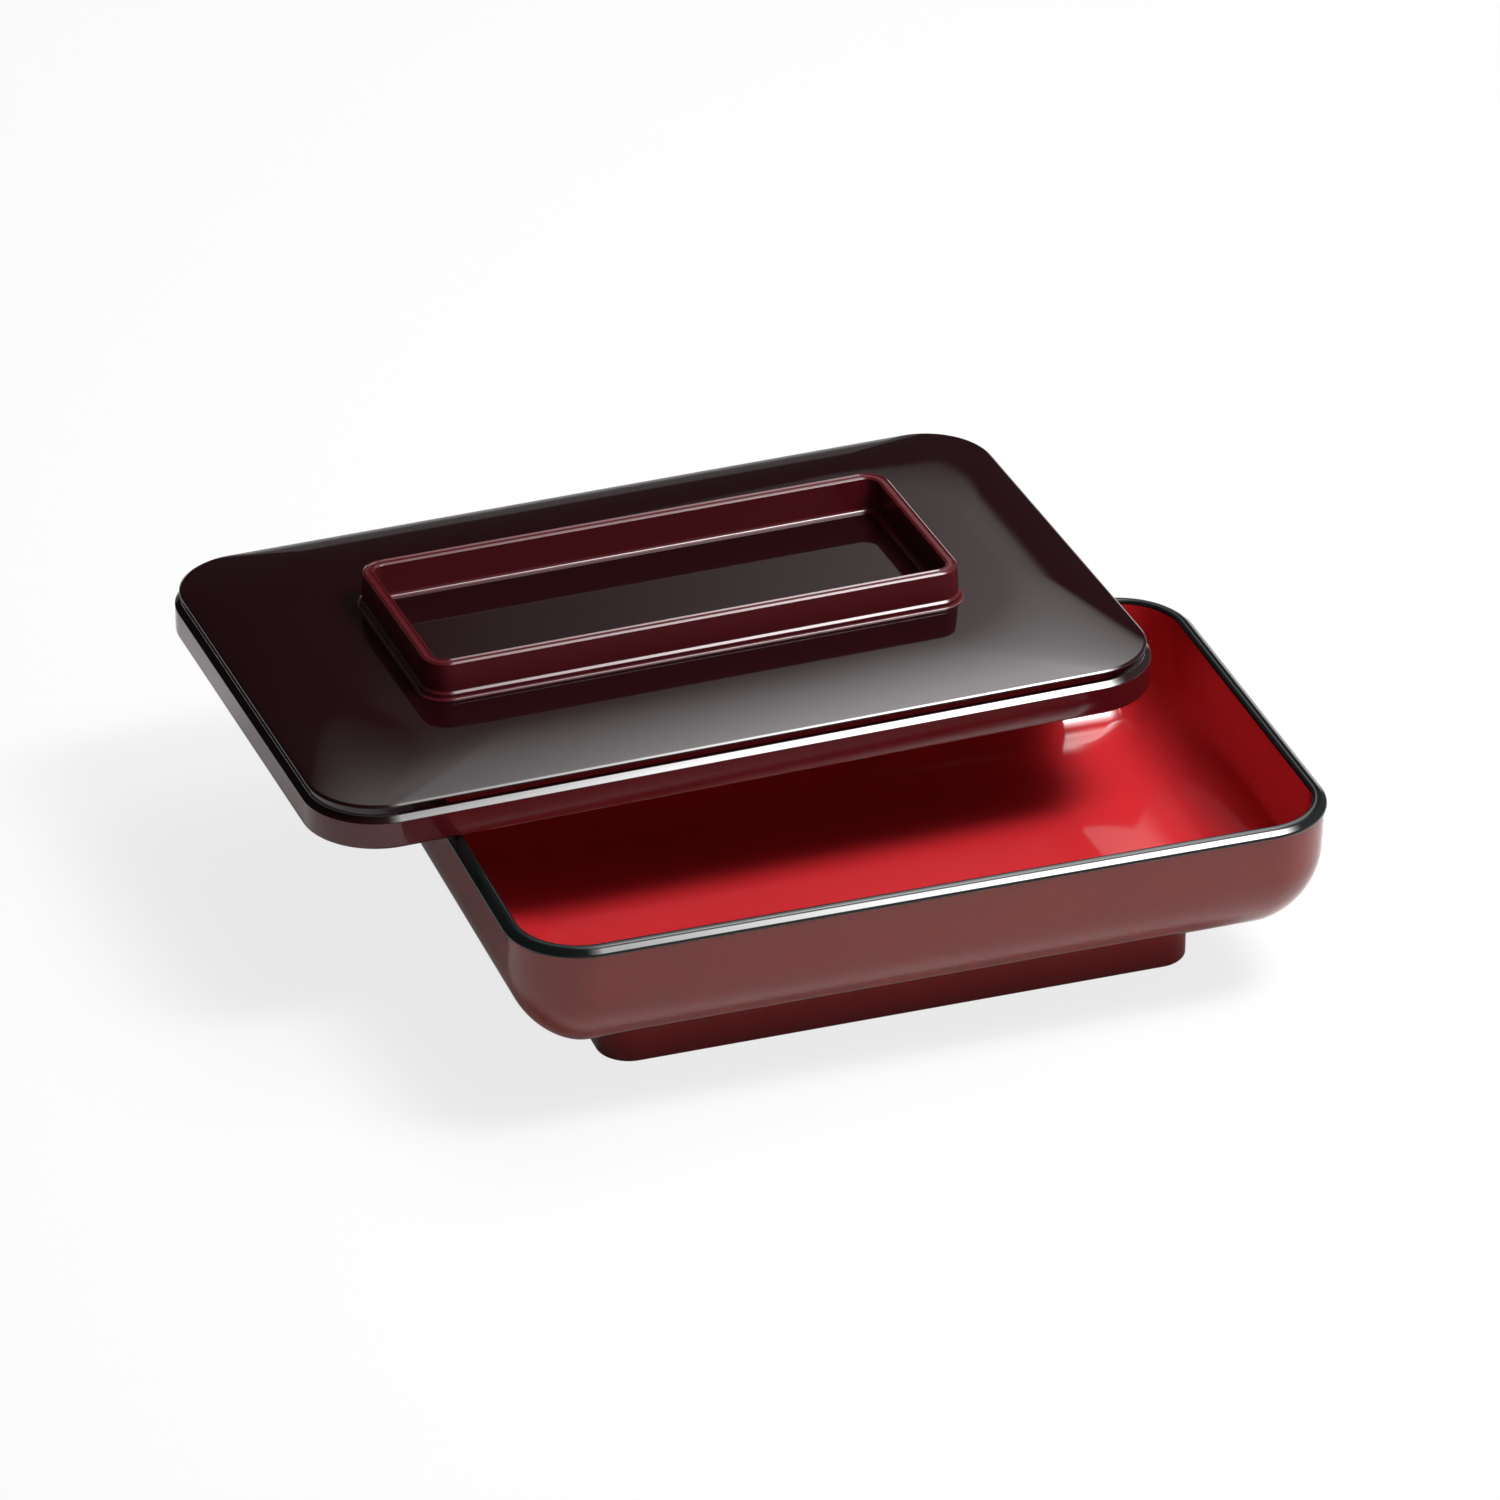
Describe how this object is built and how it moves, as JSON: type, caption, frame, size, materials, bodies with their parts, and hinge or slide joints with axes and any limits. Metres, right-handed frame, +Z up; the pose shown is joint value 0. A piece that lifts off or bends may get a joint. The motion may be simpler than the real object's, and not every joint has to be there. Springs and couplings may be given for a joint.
{
  "type": "unagi box",
  "caption": "Oblong lacquered box with sides curving in to a low foot ring, and an overlapping lid with a raised finger ring, lying shifted on the open box.",
  "frame": {"origin": "on the table, in the middle of the ground that the box and its shifted lid cover together", "axes": "+X along the box's long side, to the right in the front view; +Y to its back, where the lid hangs over; +Z up"},
  "size_m": [0.2804, 0.2333, 0.0864],
  "materials": {
    "box_lacquer": "glossy red-brown lacquer on a moulded resin core; vermilion inside and a black rim",
    "foot_lacquer": "glossy dark maroon lacquer",
    "lid_lacquer": "mirror-glossy dark brown lacquer with a red depth; vermilion inside",
    "ring_lacquer": "glossy dark red-brown lacquer"
  },
  "bodies": {
    "box": {"box_shell": "box_lacquer", "box_foot": "foot_lacquer"},
    "lid": {"lid_shell": "lid_lacquer", "lid_ring": "ring_lacquer"}
  },
  "joints": [
    {"name": "lid_lift", "type": "slide", "parent": "box", "child": "lid", "axis": [0, 0, 1], "range_m": [0, 0.1]}
  ]
}
